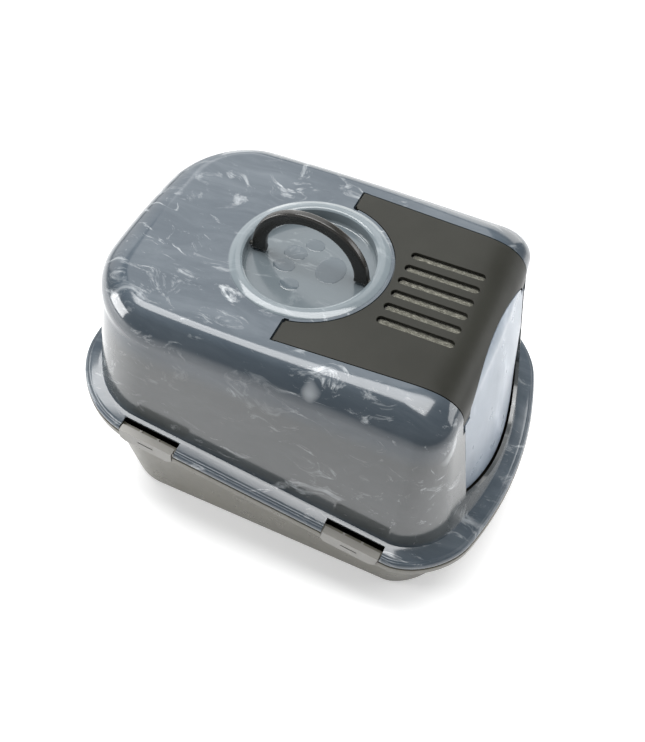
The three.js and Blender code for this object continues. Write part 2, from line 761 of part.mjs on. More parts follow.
function piece(name, body, finish) {
  const mesh = new THREE.Mesh(geometryOf(body), new THREE.MeshStandardMaterial(finishes[finish]));
  mesh.name = name;
  return mesh;
}

const box3d = new THREE.Group();
box3d.add(piece('litter_pan', makePan(), 'pan'));

const hoodGroup = new THREE.Group();
hoodGroup.add(piece('hood', makeHood(), 'shell'));
hoodGroup.add(piece('carry_handle', makeHandle(), 'handle'));
hoodGroup.add(piece('handle_pin_front', handlePinSpan(-1, 0), 'pin'));
hoodGroup.add(piece('handle_pin_rear', handlePinSpan(1, 0), 'pin'));
hoodGroup.add(piece('cover_hinge_pin_left', coverPinSpan(-1, 0), 'pin'));
hoodGroup.add(piece('cover_hinge_pin_right', coverPinSpan(1, 0), 'pin'));

const coverGroup = new THREE.Group();
coverGroup.add(piece('front_cover', makeCover(), 'dark'));
coverGroup.add(piece('filter_pad', makeFilterPad(), 'filter'));
coverGroup.add(piece('filter_frame', makeFilterFrame(), 'dark'));
coverGroup.add(piece('door_pin_left', doorPinSpan(-1, 0), 'pin'));
coverGroup.add(piece('door_pin_right', doorPinSpan(1, 0), 'pin'));
coverGroup.add(piece('swing_door', makeDoor(), 'door'));
hoodGroup.add(coverGroup);
box3d.add(hoodGroup);

for (const place of latchPlaces()) {
  const latchGroup = new THREE.Group();
  latchGroup.position.copy(place.position);
  latchGroup.rotation.x = seamAngle;
  latchGroup.add(piece(`latch_${place.name}`, makeLatch(place.side), 'latch'));
  latchGroup.add(piece(`latch_pin_${place.name}`, makeLatchPin(place.side), 'pin'));
  box3d.add(latchGroup);
}

export default box3d;
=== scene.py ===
"""The looks of the hooded cat litter box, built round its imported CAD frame.

Lengths in the shape code are millimetres in the CAD frame: +Z up, the entrance faces -Y.
"""

import math

import bmesh
import bpy
import numpy as np
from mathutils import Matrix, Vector


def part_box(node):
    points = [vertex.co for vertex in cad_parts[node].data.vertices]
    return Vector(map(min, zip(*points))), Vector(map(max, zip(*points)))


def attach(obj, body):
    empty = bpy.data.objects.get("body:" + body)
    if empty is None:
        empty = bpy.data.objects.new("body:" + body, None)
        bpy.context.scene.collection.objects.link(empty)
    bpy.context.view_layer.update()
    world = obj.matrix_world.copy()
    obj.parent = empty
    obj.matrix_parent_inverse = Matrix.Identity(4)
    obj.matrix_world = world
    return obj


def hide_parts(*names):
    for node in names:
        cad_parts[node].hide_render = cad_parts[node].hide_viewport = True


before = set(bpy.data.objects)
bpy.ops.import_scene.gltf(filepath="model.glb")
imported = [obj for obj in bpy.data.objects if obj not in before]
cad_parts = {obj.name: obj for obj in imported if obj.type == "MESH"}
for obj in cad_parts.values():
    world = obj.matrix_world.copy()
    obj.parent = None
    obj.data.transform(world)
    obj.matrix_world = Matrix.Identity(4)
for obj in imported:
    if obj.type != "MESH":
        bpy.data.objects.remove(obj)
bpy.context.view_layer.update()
MM = 0.001

# ---- Dimensions, the same as the CAD model's ---------------------------------------------
LENGTH, WIDTH, TOP = 586, 438, 370
FRONT_SEAM, REAR_SEAM, SEAM_GAP = 107, 204, 0.4
HOOD_WALL, SKIRT_WIDTH, SKIRT_HEIGHT = 2.8, 23, 12.5
SHOULDER_DROP = 40
RING_Y, RECESS_RADIUS, RECESS_DEPTH, RING_RADIUS, RING_RISE = 17, 80, 15, 97, 3.2
COVER_THICKNESS, COVER_GAP, COVER_RING = 3, 1.3, 100
COVER_REAR_Y, COVER_REAR_HALF, COVER_FRONT_HALF = RING_Y - 12.7, 131, 117
COVER_TIP_DROP, COVER_BARREL, COVER_PIN = 48, 3, 1.6
VENTS, VENT_PITCH, VENT_WIDTH, VENT_LENGTH, VENT_FRONT = 6, 21.6, 11, 92, RING_Y - 199.5
DOOR_HALF, DOOR_THICKNESS, DOOR_GAP, DOOR_SILL, DOOR_BOTTOM_RISE = 111, 2.6, 2, 15.7, 34
DOOR_CREASE_DROP, DOOR_TUCK = 125, 9
ARCH_HALF, ARCH_RISE, DOOR_AXIS_DROP, DOOR_AXIS_DEPTH, DOOR_SHOULDER_RISE = 99, 32, 58, 7, 2
DOOR_BARREL, DOOR_PIN = 3.6, 1.7
HANDLE_RADIUS, HANDLE_RADIAL, HANDLE_THICKNESS, HANDLE_AXIS_DROP = 76, 18, 10, 8.5
HANDLE_PIN, HANDLE_PIN_LENGTH = 2.6, 16
LATCH_LENGTH, LATCH_GAP, LATCH_YS = 75, 2, (RING_Y + 130, RING_Y - 153)
LATCH_PIN, LATCH_PIN_BITE, LATCH_BARREL = 1.1, 5, 2.3
PAN_WALL, PAN_SHELF_INSET, PAN_SHELF_THICKNESS, PAN_LIP_HEIGHT = 3, 12, 3.5, 12
PAN_LIP_THICKNESS, PAN_FLOOR_INSET, PAN_FLOOR_FILLET = 4.5, 29, 12
CLEARANCE = 0.4
FAR = 1200                       # past the box on every side
SMALLEST_RADIUS = 6              # of an inset outline's corners
TAPER_MIDDLE, TAPER_REACH = RING_Y + 60, LENGTH * 0.43
FOOT_OVERLAP = 1                 # how far the wall's foot reaches down into the skirt
CUTTER_DROP, CUTTER_RISE = 20, 20  # the cutters' reach below the shoulder and above the top
PIN_SIDES, RING_SIDES = 24, 180
RECESS_SKIN = 2.5                # thickness of the recess's floor and wall
RECESS_FILLET = 4
LIP_FILLET, LIP_CORNER_RADIUS = 2.2, 3
# The recess's raised pads: centre x and y from the middle of the ring, then the two half widths.
PADS = ((12, 25, 12, 15), (33, 8, 10, 12), (-12, 29, 11, 14), (-37, 10, 10, 12), (3, -26, 22, 18))
PAD_RISE = 0.8
LUG_HEIGHT, LUG_LENGTH = 16, 4
LEDGE_WALL, LEDGE_REACH, LEDGE_RING_REACH, LEDGE_THICKNESS = 4, 8, 5, 2.5

SLOPE = (REAR_SEAM - FRONT_SEAM) / LENGTH
SEAM_ANGLE = math.atan(SLOPE)
SHOULDER_Z = TOP - SHOULDER_DROP


def seam_height(y):
    return (FRONT_SEAM + REAR_SEAM) / 2 + SLOPE * y


# ---- Meshes ------------------------------------------------------------------------------
def mesh_object(name, points, faces):
    """An object from points in millimetres."""
    mesh = bpy.data.meshes.new(name)
    mesh.from_pydata((np.asarray(points, float) * MM).tolist(), [], faces)
    obj = bpy.data.objects.new(name, mesh)
    bpy.context.scene.collection.objects.link(obj)
    return obj


def baked(obj):
    """Applies obj's modifiers to its mesh."""
    bpy.context.view_layer.update()
    graph = bpy.context.evaluated_depsgraph_get()
    mesh = bpy.data.meshes.new_from_object(obj.evaluated_get(graph))
    old = obj.data
    obj.modifiers.clear()
    obj.data = mesh
    bpy.data.meshes.remove(old)
    return obj


def boolean(a, b, operation):
    """Applies b to a and removes b."""
    modifier = a.modifiers.new("cut", "BOOLEAN")
    modifier.solver = "MANIFOLD"
    modifier.operation = operation
    modifier.object = b
    baked(a)
    bpy.data.objects.remove(b)
    return a


def less(a, *bodies):
    for b in bodies:
        boolean(a, b, "DIFFERENCE")
    return a


def plus(a, *bodies):
    for b in bodies:
        boolean(a, b, "UNION")
    return a


def within(a, b):
    return boolean(a, b, "INTERSECT")


def prism(points, axis, low, high):
    """A prism of a 2-D outline along Z (points x, y) or Y (points x, z)."""
    n = len(points)
    ends = []
    for t in (low, high):
        ends += [(p, q, t) if axis == "z" else (p, t, q) for p, q in points]
    faces = [list(range(n))[::-1], list(range(n, 2 * n))]
    faces += [[i, (i + 1) % n, n + (i + 1) % n, n + i] for i in range(n)]
    return outward(mesh_object("prism", ends, faces))


def outward(obj):
    """Turns the faces of a closed mesh outwards."""
    bm = bmesh.new()
    bm.from_mesh(obj.data)
    bmesh.ops.recalc_face_normals(bm, faces=bm.faces)
    bm.to_mesh(obj.data)
    bm.free()
    return obj


def box(x0, x1, y0, y1, z0, z1):
    return prism([(x0, y0), (x1, y0), (x1, y1), (x0, y1)], "z", z0, z1)


def rod(axis, radius, low, high, u, v, sides=48):
    """A round bar along x (centre y=u, z=v), y (x=u, z=v) or z (x=u, y=v)."""
    turns = [2 * math.pi * i / sides for i in range(sides)]
    points = []
    for t in (low, high):
        for turn in turns:
            a, b = u + radius * math.cos(turn), v + radius * math.sin(turn)
            points.append({"x": (t, a, b), "y": (a, t, b), "z": (a, b, t)}[axis])
    faces = [list(range(sides)), list(range(sides, 2 * sides))]
    faces += [[i, (i + 1) % sides, sides + (i + 1) % sides, sides + i] for i in range(sides)]
    return outward(mesh_object("rod", points, faces))


def lathe(profile, centre=(0, RING_Y), sides=180):
    """A closed body turned about a vertical axis. The profile's points are (radius, z)."""
    closed = profile[0] == profile[-1]
    rows = profile[:-1] if closed else [p for p in profile if p[0] > 0]
    turns = [2 * math.pi * i / sides for i in range(sides)]
    points = []
    for r, z in rows:
        points += [(centre[0] + r * math.cos(t), centre[1] + r * math.sin(t), z) for t in turns]
    pairs = [(k, (k + 1) % len(rows)) for k in range(len(rows) if closed else len(rows) - 1)]
    faces = []
    for low, high in pairs:
        for i in range(sides):
            j = (i + 1) % sides
            faces.append([low * sides + i, low * sides + j, high * sides + j, high * sides + i])
    if not closed:
        faces.append(list(range(sides)))
        faces.append(list(range((len(rows) - 1) * sides, len(rows) * sides)))
    return outward(mesh_object("lathe", points, faces))


# ---- Plan outlines and the hood's surface ------------------------------------------------
CORNER_STEPS, SIDE_STEPS, END_STEPS = 22, 34, 34


def inset(o, side, front=None, rear=None, **changes):
    """Outline o drawn in by side, or by front and rear at its ends. Changes replace its other sizes."""
    front = side if front is None else front
    rear = side if rear is None else rear
    made = dict(o, half=o["half"] - side, front=o["front"] + front, rear=o["rear"] - rear)
    made["rf"], made["rr"] = max(o["rf"] - side, SMALLEST_RADIUS), max(o["rr"] - side, SMALLEST_RADIUS)
    made.update(changes)
    return made


def mix(a, b, t):
    """The outline a share t of the way from a to b."""
    return {k: a[k] + (b[k] - a[k]) * t for k in a}


def bowed(o, x, y):
    """A point of the plain rounded rectangle, moved by the bowed ends and the taper."""
    middle, reach = (o["front"] + o["rear"]) / 2, (o["rear"] - o["front"]) / 2
    along = (y - middle) / reach
    shift = -along * (o["bf"] if along < 0 else o["br"])
    narrowing = 1 - o["taper"] * ((y - TAPER_MIDDLE) / TAPER_REACH) ** 2
    return x * narrowing, y + shift * (x / o["half"]) ** 2


def outline_points(o):
    w, front, rear, rf, rr = o["half"], o["front"], o["rear"], o["rf"], o["rr"]
    points = []

    def corner(cx, cy, r, start):
        for i in range(CORNER_STEPS + 1):
            t = start + math.pi / 2 * i / CORNER_STEPS
            points.append((cx + r * math.cos(t), cy + r * math.sin(t)))

    def edge(x0, y0, x1, y1, steps):
        for i in range(1, steps):
            points.append((x0 + (x1 - x0) * i / steps, y0 + (y1 - y0) * i / steps))

    corner(w - rr, rear - rr, rr, 0)
    edge(w - rr, rear, rr - w, rear, END_STEPS)
    corner(rr - w, rear - rr, rr, math.pi / 2)
    edge(-w, rear - rr, -w, front + rf, SIDE_STEPS)
    corner(rf - w, front + rf, rf, math.pi)
    edge(rf - w, front, w - rf, front, END_STEPS)
    corner(w - rf, front + rf, rf, -math.pi / 2)
    edge(w, front + rf, w, rear - rr, SIDE_STEPS)
    return [bowed(o, x, y) for x, y in points]


def level(o, height):
    """Outline o as points in space, each at the height of its y."""
    return [(x, y, height(y)) for x, y in outline_points(o)]


def walls(levels, closed):
    """The faces between one level and the next."""
    n = len(levels[0])
    rows = len(levels)
    faces = []
    for k in range(rows if closed else rows - 1):
        low, high = k * n, (k + 1) % rows * n
        for i in range(n):
            j = (i + 1) % n
            faces.append([low + i, low + j, high + j, high + i])
    return faces


def stack(levels):
    """A solid through the levels, from the lowest to the highest."""
    n = len(levels[0])
    faces = walls(levels, False)
    faces.append(list(range(n))[::-1])
    faces.append(list(range((len(levels) - 1) * n, len(levels) * n)))
    return outward(mesh_object("stack", [p for row in levels for p in row], faces))


def band(section, base):
    """A closed band along the sloping seam. The section's points are (inset, height)."""
    levels = [level(inset(base, d), lambda y, h=h: seam_height(y) + h) for d, h in section]
    return outward(mesh_object("band", [p for row in levels for p in row], walls(levels, True)))


# An outline is a rounded rectangle: rf and rr are its corner radii, bf and br the bows of its ends,
# and taper narrows it towards both ends.
RIM = dict(half=WIDTH / 2, front=-LENGTH / 2, rear=LENGTH / 2, rf=75, rr=105, bf=50, br=18, taper=0.0)
FOOT = inset(RIM, SKIRT_WIDTH)
SHOULDER = inset(FOOT, 21, 46, 8, rf=36, rr=112, bf=8, br=14)
FLAT_TOP = inset(SHOULDER, 34, 46, 51, rf=25, rr=50, bf=12, br=8, taper=0.13)
FRONT_FOOT_Z = seam_height(FOOT["front"]) + SKIRT_HEIGHT - FOOT_OVERLAP
CREASE = (TOP - DOOR_CREASE_DROP - FRONT_FOOT_Z) / (SHOULDER_Z - FRONT_FOOT_Z)
FILLET_STEPS = 16


def hood_space(depth, tuck=0.0, foot_drop=0.0):
    """The space inside the hood's surface, drawn in all round by depth."""

    def wall_height(t):
        def height(y):
            low = seam_height(y) + SKIRT_HEIGHT - FOOT_OVERLAP - foot_drop
            return low + (SHOULDER_Z - depth - low) * t

        return height

    low = inset(FOOT, tuck)
    creased = mix(FOOT, SHOULDER, CREASE)
    levels = []
    for t in (0, 0.33, 0.66):
        levels.append(level(inset(mix(low, creased, t), depth), wall_height(CREASE * t)))
    for t in (0, 0.35, 0.7, 0.9):
        shape = inset(mix(creased, SHOULDER, t), depth)
        levels.append(level(shape, wall_height(CREASE + (1 - CREASE) * t)))
    for i in range(FILLET_STEPS + 1):
        angle = math.pi / 2 * i / FILLET_STEPS
        shape = inset(mix(SHOULDER, FLAT_TOP, 1 - math.cos(angle)), depth)
        z = SHOULDER_Z + SHOULDER_DROP * math.sin(angle) - depth
        levels.append(level(shape, lambda y, z=z: z))
    levels.append(level(inset(FLAT_TOP, depth + 3), lambda y: TOP - depth))
    return stack(levels)


def front_at(drop, x):
    """The y of the hood's front surface at x, drop below the top."""
    t = (TOP - drop - FRONT_FOOT_Z) / (SHOULDER_Z - FRONT_FOOT_Z)
    o = mix(FOOT, SHOULDER, t)
    return bowed(o, x, o["front"])[1]


def cover_column(grow, z0, z1, ring_grow=None):
    """The cover's opening in plan, cut round the recess, as an upright column."""
    ring_grow = grow if ring_grow is None else ring_grow
    rear, tip_y = COVER_REAR_Y + grow, SHOULDER["front"]
    rear_x, tip_x = COVER_REAR_HALF + grow, COVER_FRONT_HALF + COVER_GAP + grow
    left = [(-rear_x, rear), (-tip_x, tip_y), (-tip_x, -FAR)]
    plan = left + [(-x, y) for x, y in reversed(left)]
    ring = rod("z", COVER_RING - ring_grow, z0 - 1, z1 + 1, 0, RING_Y, RING_SIDES)
    return less(prism(plan, "z", z0, z1), ring)


def arch_face(grow):
    """Everything under the cover's front arch, seen from the front."""
    base, steps = TOP - COVER_TIP_DROP + grow, 64
    a, b = ARCH_HALF + grow, ARCH_RISE
    turns = [math.pi * i / steps for i in range(steps + 1)]
    arc = [(a * math.cos(t), base + b * math.sin(t)) for t in turns]
    return [(FAR, -FAR), (FAR, base), *arc, (-FAR, base), (-FAR, -FAR)]


def door_foot(half, lower):
    """The curved lower edge of the door, as points (x, z)."""
    steps = 48
    middle = FRONT_FOOT_Z + DOOR_SILL - lower
    xs = [-half + 2 * half * i / steps for i in range(steps + 1)]
    return [(x, middle + DOOR_BOTTOM_RISE * (x / DOOR_HALF) ** 2) for x in xs]


def span(side, inner, outer):
    """A range from inner to outer on the left (side < 0) or the right."""
    return (-outer, -inner) if side < 0 else (inner, outer)


COVER_AXIS_Y = COVER_REAR_Y - COVER_GAP - COVER_BARREL
COVER_AXIS_Z = TOP - COVER_BARREL
DOOR_AXIS_Y = front_at(DOOR_AXIS_DROP, COVER_FRONT_HALF) + DOOR_AXIS_DEPTH
DOOR_AXIS_Z = TOP - DOOR_AXIS_DROP
HANDLE_AXIS_Z = TOP - HANDLE_AXIS_DROP


def cover_pin_hole(side):
    x0, x1 = span(side, COVER_REAR_HALF - COVER_GAP - 9.4, COVER_REAR_HALF + 6.4)
    return rod("x", COVER_PIN + CLEARANCE, x0, x1, COVER_AXIS_Y, COVER_AXIS_Z, PIN_SIDES)


def door_pin_hole(side):
    x0, x1 = span(side, DOOR_HALF - 9 - CLEARANCE, COVER_FRONT_HALF + CLEARANCE)
    return rod("x", DOOR_PIN + CLEARANCE, x0, x1, DOOR_AXIS_Y, DOOR_AXIS_Z, PIN_SIDES)


def handle_pin_hole(side):
    inner = RECESS_RADIUS - HANDLE_PIN_LENGTH * 0.75 - CLEARANCE
    a, b = span(side, inner, inner + HANDLE_PIN_LENGTH + 2 * CLEARANCE)
    return rod("y", HANDLE_PIN + CLEARANCE, RING_Y + a, RING_Y + b, 0, HANDLE_AXIS_Z, PIN_SIDES)


def latch_box(side, y, e0, e1, half, h0, h1):
    """A box in a latch's own frame, turned with the sloping rim."""
    x0, x1 = span(side, e0, e1)
    return at_latch(box(x0, x1, -half, half, h0, h1), side, y)


def at_latch(obj, side, y):
    """Moves obj from a latch's own frame to the rim."""
    c, s = math.cos(SEAM_ANGLE), math.sin(SEAM_ANGLE)
    place = Vector((side * WIDTH / 2 * MM, y * MM, seam_height(y) * MM))
    for v in obj.data.vertices:
        p = v.co
        v.co = Vector((p.x, p.y * c - p.z * s, p.y * s + p.z * c)) + place
    return obj


# ---- Hood --------------------------------------------------------------------------------
def rounded(points, radius, steps=5):
    """The open path through points with its inner corners rounded."""
    path = [points[0]]
    for a, b, c in zip(points, points[1:], points[2:]):
        a, b, c = np.array(a, float), np.array(b, float), np.array(c, float)
        r = min(radius, np.linalg.norm(a - b) * 0.48, np.linalg.norm(c - b) * 0.48)
        start = b + (a - b) / np.linalg.norm(a - b) * r
        end = b + (c - b) / np.linalg.norm(c - b) * r
        for i in range(steps + 1):
            t = i / steps
            path.append(tuple((1 - t) ** 2 * start + 2 * t * (1 - t) * b + t * t * end))
    path.append(points[-1])
    return path


def make_hood():
    hood = less(hood_space(0), hood_space(HOOD_WALL, 0, 12))
    less(hood, cover_column(0, SHOULDER_Z - CUTTER_DROP, TOP + CUTTER_RISE), make_doorway())
    plus(hood, make_ledge(), make_skirt())
    floor = TOP - RECESS_DEPTH
    outer = RECESS_RADIUS + RECESS_SKIN
    plus(hood, lathe([(outer, floor - RECESS_SKIN), (outer, TOP - 1)]))
    lip = rounded(
        [
            (RING_RADIUS, TOP - 2),
            (RING_RADIUS, TOP),
            (RING_RADIUS - 4, TOP + RING_RISE * 0.55),
            (RING_RADIUS - 9, TOP + RING_RISE),
            (RECESS_RADIUS + 3, TOP + RING_RISE),
            (RECESS_RADIUS - 1, TOP),
        ],
        LIP_CORNER_RADIUS,
    )
    plus(hood, lathe([(RECESS_RADIUS - 1, TOP - 2), *lip, (RECESS_RADIUS - 1, TOP - 2)]))
    less(hood, make_bowl(floor))
    for x, y, rx, ry in PADS:
        plus(hood, pad(x, y, rx, ry, floor))
    for side in (-1, 1):
        x0, x1 = span(side, COVER_REAR_HALF - 1, COVER_REAR_HALF + 8)
        plus(hood, box(x0, x1, COVER_AXIS_Y - 5, COVER_AXIS_Y + 5, TOP - 9, TOP - 1))
        less(hood, cover_pin_hole(side), handle_pin_hole(side))
    half = COVER_REAR_HALF
    room = rod("x", COVER_BARREL + COVER_GAP, -half, half, COVER_AXIS_Y, COVER_AXIS_Z)
    less(hood, less(room, rod("z", RING_RADIUS + 1, 0, FAR, 0, RING_Y, RING_SIDES)))
    for side in (-1, 1):
        for y in LATCH_YS:
            less(hood, latch_box(side, y, -(SKIRT_WIDTH - 5), 5, LATCH_LENGTH / 2 + LATCH_GAP, -5, 25))
    return hood


def make_bowl(floor):
    """The hollow of the handle recess, rounded at its foot and at its mouth."""
    steps, inner = 8, RECESS_RADIUS - RECESS_FILLET
    bowl = [(inner, floor)]
    for i in range(1, steps + 1):
        t = math.pi / 2 * i / steps
        along, up = RECESS_FILLET * math.sin(t), RECESS_FILLET * math.cos(t)
        bowl.append((inner + along, floor + RECESS_FILLET - up))
    bowl.append((RECESS_RADIUS, TOP))
    for t in (0.4, 0.8, 1.2, 1.57):
        bowl.append((RECESS_RADIUS + LIP_FILLET * (1 - math.cos(t)), TOP + 2.6 * math.sin(t)))
    return lathe([*bowl, (RECESS_RADIUS + LIP_FILLET, TOP + 9)])


def make_doorway():
    """The hood's front opening, with room for the door and its lugs."""
    half, wide = DOOR_HALF + DOOR_GAP, COVER_FRONT_HALF + COVER_GAP
    lug_foot = DOOR_AXIS_Z - DOOR_BARREL - 2
    points = door_foot(half, DOOR_GAP)
    right = [(half, lug_foot), (wide, lug_foot), (wide, TOP + 5)]
    points += right + [(-x, z) for x, z in reversed(right)]
    return prism(points, "y", -FAR, FLAT_TOP["front"])


def make_ledge():
    """The step under the cover's edge: a riser and the shelf that the cover rests on."""
    above = COVER_THICKNESS + 0.5
    z0, z1 = SHOULDER_Z, TOP + CUTTER_RISE
    outer, opening = LEDGE_WALL, (z0 - 1, z1 + 1)
    riser = less(cover_column(outer, z0, z1), cover_column(0, *opening))
    shelf = less(cover_column(outer, z0, z1), cover_column(-LEDGE_REACH, *opening, -LEDGE_RING_REACH))
    within(riser, less(hood_space(HOOD_WALL / 2), hood_space(above + LEDGE_THICKNESS)))
    within(shelf, less(hood_space(above), hood_space(above + LEDGE_THICKNESS)))
    return within(plus(riser, shelf), box(-FAR, FAR, FLAT_TOP["front"], FAR, 0, FAR))


def make_skirt():
    """The skirt over the pan's rim, with a bead along its outer edge."""
    outer = rounded(
        [
            (3.8, SEAM_GAP),
            (0.8, SEAM_GAP),
            (0.8, 6),
            (3.4, 9.6),
            (6.6, 8.4),
            (9, 9.2),
            (SKIRT_WIDTH - 3, SKIRT_HEIGHT - 0.6),
            (SKIRT_WIDTH + 2, SKIRT_HEIGHT),
        ],
        2.2,
    )
    return band([*outer, (SKIRT_WIDTH + 2, SKIRT_HEIGHT - 3), (7, 6), (4.2, 4.8)], RIM)


def pad(x, y, rx, ry, floor):
    """A low oval pad raised on the floor of the recess."""
    steps = 8
    profile = [(1.0, floor - 1)]
    for i in range(steps):
        t = math.pi / 2 * i / steps
        profile.append((math.cos(t) ** 0.6, floor + PAD_RISE * math.sin(t) ** 0.8))
    obj = lathe(profile, (0, 0), 48)
    for v in obj.data.vertices:
        v.co = Vector((v.co.x * rx + x * MM, v.co.y * ry + (RING_Y + y) * MM, v.co.z))
    return obj


# ---- Cover, door, filter -----------------------------------------------------------------
def make_cover():
    cover = less(hood_space(0), hood_space(COVER_THICKNESS))
    within(cover, cover_column(-COVER_GAP, SHOULDER_Z - CUTTER_DROP, TOP + CUTTER_RISE))
    less(cover, box(-FAR, FAR, COVER_AXIS_Y, FAR, 0, FAR))
    less(cover, prism(arch_face(0), "y", -FAR, FLAT_TOP["front"]))
    r, steps = VENT_WIDTH / 2, 32
    for i in range(VENTS):
        x = (i - (VENTS - 1) / 2) * VENT_PITCH
        low, high = VENT_FRONT + r, VENT_FRONT + VENT_LENGTH - r
        slot = []
        for k in range(steps + 1):
            t = math.pi + math.pi * k / steps
            slot.append((x + r * math.cos(t), low + r * math.sin(t)))
        slot += [(2 * x - p, low + high - q) for p, q in slot]
        less(cover, prism(slot, "z", TOP - 15, TOP + 15))
    for side in (-1, 1):
        inner = math.sqrt((COVER_RING + COVER_GAP) ** 2 - (COVER_AXIS_Y - RING_Y) ** 2) + 3
        x0, x1 = span(side, inner, COVER_REAR_HALF - COVER_GAP)
        plus(cover, rod("x", COVER_BARREL, x0, x1, COVER_AXIS_Y, COVER_AXIS_Z))
        x0, x1 = span(side, COVER_FRONT_HALF - LUG_LENGTH, COVER_FRONT_HALF)
        y0, y1 = DOOR_AXIS_Y - DOOR_BARREL, DOOR_AXIS_Y + DOOR_BARREL
        plus(cover, rod("x", DOOR_BARREL, x0, x1, DOOR_AXIS_Y, DOOR_AXIS_Z))
        plus(cover, box(x0, x1, y0, y1, DOOR_AXIS_Z, DOOR_AXIS_Z + LUG_HEIGHT))
        less(cover, cover_pin_hole(side), door_pin_hole(side))
    return cover


def make_door():
    door = less(hood_space(0.6, DOOR_TUCK), hood_space(0.6 + DOOR_THICKNESS, DOOR_TUCK, 12))
    within(door, prism(arch_face(-DOOR_GAP), "y", -FAR, 0))
    base = DOOR_AXIS_Z + DOOR_SHOULDER_RISE
    points = door_foot(DOOR_HALF, 0)
    points += [
        (DOOR_HALF, base), (ARCH_HALF, base), (ARCH_HALF, TOP),
        (-ARCH_HALF, TOP), (-ARCH_HALF, base), (-DOOR_HALF, base),
    ]
    within(door, prism(points, "y", -FAR, 0))
    for side in (-1, 1):
        x0, x1 = span(side, DOOR_HALF - 8, DOOR_HALF)
        y0 = DOOR_AXIS_Y - DOOR_AXIS_DEPTH + 1.5
        web = box(x0, x1, y0, DOOR_AXIS_Y, DOOR_AXIS_Z - DOOR_BARREL, base)
        plus(door, rod("x", DOOR_BARREL, x0, x1, DOOR_AXIS_Y, DOOR_AXIS_Z), web)
        less(door, door_pin_hole(side))
    return door


def make_filter_pad():
    """A felt pad with soft edges and a slightly uneven face, in the space of its CAD solid."""
    low, high = (np.array(c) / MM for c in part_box("filter_pad"))
    columns, rows = 72, 44
    soft = 2.2
    xs = np.linspace(low[0], high[0], columns)
    ys = np.linspace(low[1], high[1], rows)
    points, faces = [], []
    for top in (False, True):
        for y in ys:
            for x in xs:
                edge = min(x - low[0], high[0] - x, y - low[1], high[1] - y)
                round_off = soft * (1 - min(edge / soft, 1)) ** 2
                across = math.sin(x * 0.31 + 1.7 * math.sin(y * 0.17))
                wave = 0.22 * across * math.sin(y * 0.43 + math.sin(x * 0.11))
                lift = round_off + 0.3 + wave if edge > 0 else round_off
                points.append((x, y, high[2] - lift) if top else (x, y, low[2] + lift))
    count = columns * rows
    for top in (0, count):
        for j in range(rows - 1):
            for i in range(columns - 1):
                a = top + j * columns + i
                faces.append([a, a + 1, a + columns + 1, a + columns])
    ring = [*range(columns), *[j * columns + columns - 1 for j in range(1, rows)]]
    ring += [*range(count - 2, count - columns - 1, -1), *[j * columns for j in range(rows - 2, 0, -1)]]
    faces += [[a, b, b + count, a + count] for a, b in zip(ring, ring[1:] + ring[:1])]
    return outward(mesh_object("filter_felt", points, faces))


# ---- Pan ---------------------------------------------------------------------------------
def make_pan():
    wall_top, base = inset(RIM, PAN_SHELF_INSET), inset(RIM, PAN_FLOOR_INSET)
    steps = 10

    def space(depth, floor, lift):
        """The space inside the pan's surface, drawn in by depth, from floor to lift above the seam."""
        levels = []
        for i in range(steps + 1):
            angle = math.pi / 2 * i / steps
            shape = inset(base, PAN_FLOOR_FILLET * (1 - math.sin(angle)) + depth)
            z = floor + PAN_FLOOR_FILLET * (1 - math.cos(angle))
            levels.append(level(shape, lambda y, z=z: z))
        for t in (0.33, 0.66, 1):
            shape = inset(mix(base, wall_top, t), depth)
            z = floor + PAN_FLOOR_FILLET
            levels.append(level(shape, lambda y, t=t: z + (seam_height(y) + lift - z) * t))
        return stack(levels)

    pan = less(space(0, 0, 0), space(PAN_WALL, PAN_WALL, 1))
    lip = PAN_LIP_THICKNESS
    shelf = PAN_SHELF_INSET + 1
    section = rounded([(shelf, 0), (0, 0), (0, -PAN_LIP_HEIGHT), (lip, -PAN_LIP_HEIGHT)], 1.2, 4)
    section += [(lip, -PAN_SHELF_THICKNESS), (shelf, -PAN_SHELF_THICKNESS)]
    plus(pan, band(section, RIM))
    for side in (-1, 1):
        for y in LATCH_YS:
            half = LATCH_LENGTH / 2 + 0.6
            less(pan, latch_box(side, y, -(lip + 2), 5, half, -PAN_LIP_HEIGHT - 8, 8))
            reach = half + LATCH_PIN_BITE + 0.5
            x, z = -side * lip / 2, LATCH_BARREL - PAN_LIP_HEIGHT
            hole = rod("y", LATCH_PIN + CLEARANCE * 0.75, -reach, reach, x, z, PIN_SIDES)
            less(pan, at_latch(hole, side, y))
    return pan


# ---- Handle ------------------------------------------------------------------------------
def make_handle():
    """The folding handle: a half ring whose rounded section is flat on its outer face."""
    steps, around = 72, 40
    radial, thick = HANDLE_RADIAL / 2, HANDLE_THICKNESS / 2
    middle = HANDLE_RADIUS - radial
    rows = []
    for i in range(steps + 1):
        t = math.pi * i / steps
        rise = math.sin(t)
        row = []
        for k in range(around):
            a = 2 * math.pi * k / around
            c, s = math.cos(a), math.sin(a)
            u = math.copysign(abs(c) ** 0.34, c) * (radial - 1.2 * rise)
            v = math.copysign(abs(s) ** 0.5, s) * thick
            r = middle + u
            row.append((v, RING_Y + r * math.cos(t), HANDLE_AXIS_Z + r * math.sin(t)))
        rows.append(row)
    handle = stack(rows)
    for side in (-1, 1):
        centre, half = RING_Y + side * middle, radial - 0.6
        plus(handle, rod("y", thick, centre - half, centre + half, 0, HANDLE_AXIS_Z, 64))
        less(handle, handle_pin_hole(side))
    return handle


# ---- Materials ---------------------------------------------------------------------------
def linear(*rgb):
    """A colour given in display values from 0 to 255."""
    return (*(((c / 255 + 0.055) / 1.055) ** 2.4 for c in rgb), 1.0)


